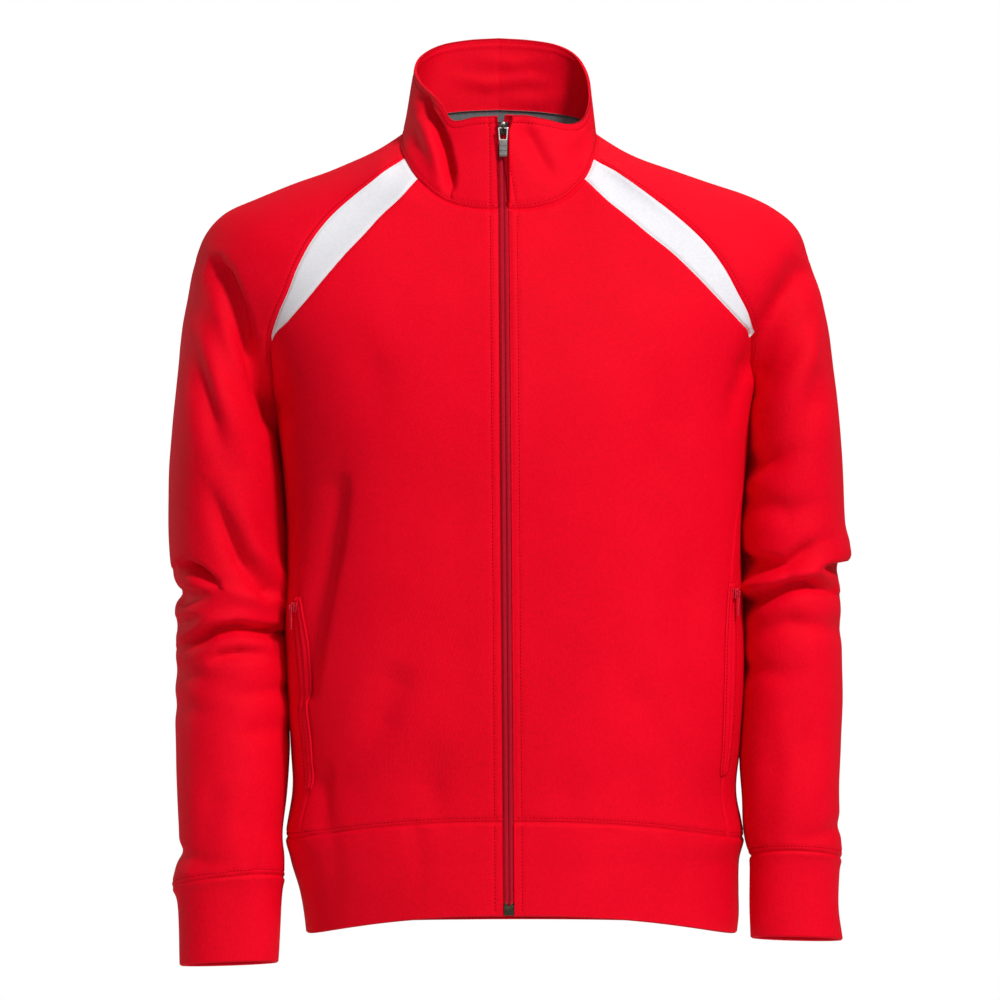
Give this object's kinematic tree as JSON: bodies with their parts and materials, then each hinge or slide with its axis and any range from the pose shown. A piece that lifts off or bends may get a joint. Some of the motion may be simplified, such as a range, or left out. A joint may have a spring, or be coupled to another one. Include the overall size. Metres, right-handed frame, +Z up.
{
  "type": "track jacket",
  "caption": "Red track jacket with raglan sleeves, white raglan inserts, stand collar, full front zip and zip pockets in the side seams, in its worn, hollow form.",
  "frame": {"origin": "middle of the neck opening at the height of the shoulder points, where a wearer's shoulders hold the jacket", "axes": "+Z up the jacket, +X towards the wearer's left, -Y out of the front"},
  "size_m": [0.5927, 0.2732, 0.8125],
  "materials": {
    "red_knit": "smooth polyester knit with a slight sheen",
    "white_knit": "smooth polyester knit",
    "grey_tape": "plain woven tape",
    "zip_coil": "nylon coil on woven tape",
    "dark_metal": "dark lacquered metal",
    "pull_rubber": "satin grey rubber",
    "red_pull": "red moulded plastic"
  },
  "bodies": {
    "jacket": {"front_right": "red_knit", "front_left": "red_knit", "back": "red_knit", "sleeve_right": "red_knit", "sleeve_left": "red_knit", "insert_right": "white_knit", "insert_left": "white_knit", "collar": "red_knit", "neck_tape": "grey_tape", "hem_band": "red_knit", "cuff_right": "red_knit", "cuff_left": "red_knit", "pocket_welt_right": "red_knit", "pocket_welt_left": "red_knit", "zip_chain": "zip_coil", "zip_box": "dark_metal", "zip_slider": "dark_metal", "pocket_slider_right": "dark_metal", "pocket_slider_left": "dark_metal"},
    "front_pull": {"zip_pull": "pull_rubber"},
    "right_pocket_pull": {"pocket_pull_right": "red_pull"},
    "left_pocket_pull": {"pocket_pull_left": "red_pull"}
  },
  "joints": [
    {"name": "front_pull_swing", "type": "hinge", "parent": "jacket", "child": "front_pull", "pos_m": [-0.00431, -0.08816, 0.0075], "axis": [-1, 0, 0], "range_deg": [0, 150]},
    {"name": "right_pocket_pull_swing", "type": "hinge", "parent": "jacket", "child": "right_pocket_pull", "pos_m": [-0.18635, -0.06227, -0.40102], "axis": [-0.4655, 0.885, 0], "range_deg": [0, 60]},
    {"name": "left_pocket_pull_swing", "type": "hinge", "parent": "jacket", "child": "left_pocket_pull", "pos_m": [0.19739, -0.06156, -0.389], "axis": [-0.4483, -0.8939, 0], "range_deg": [0, 60]}
  ]
}
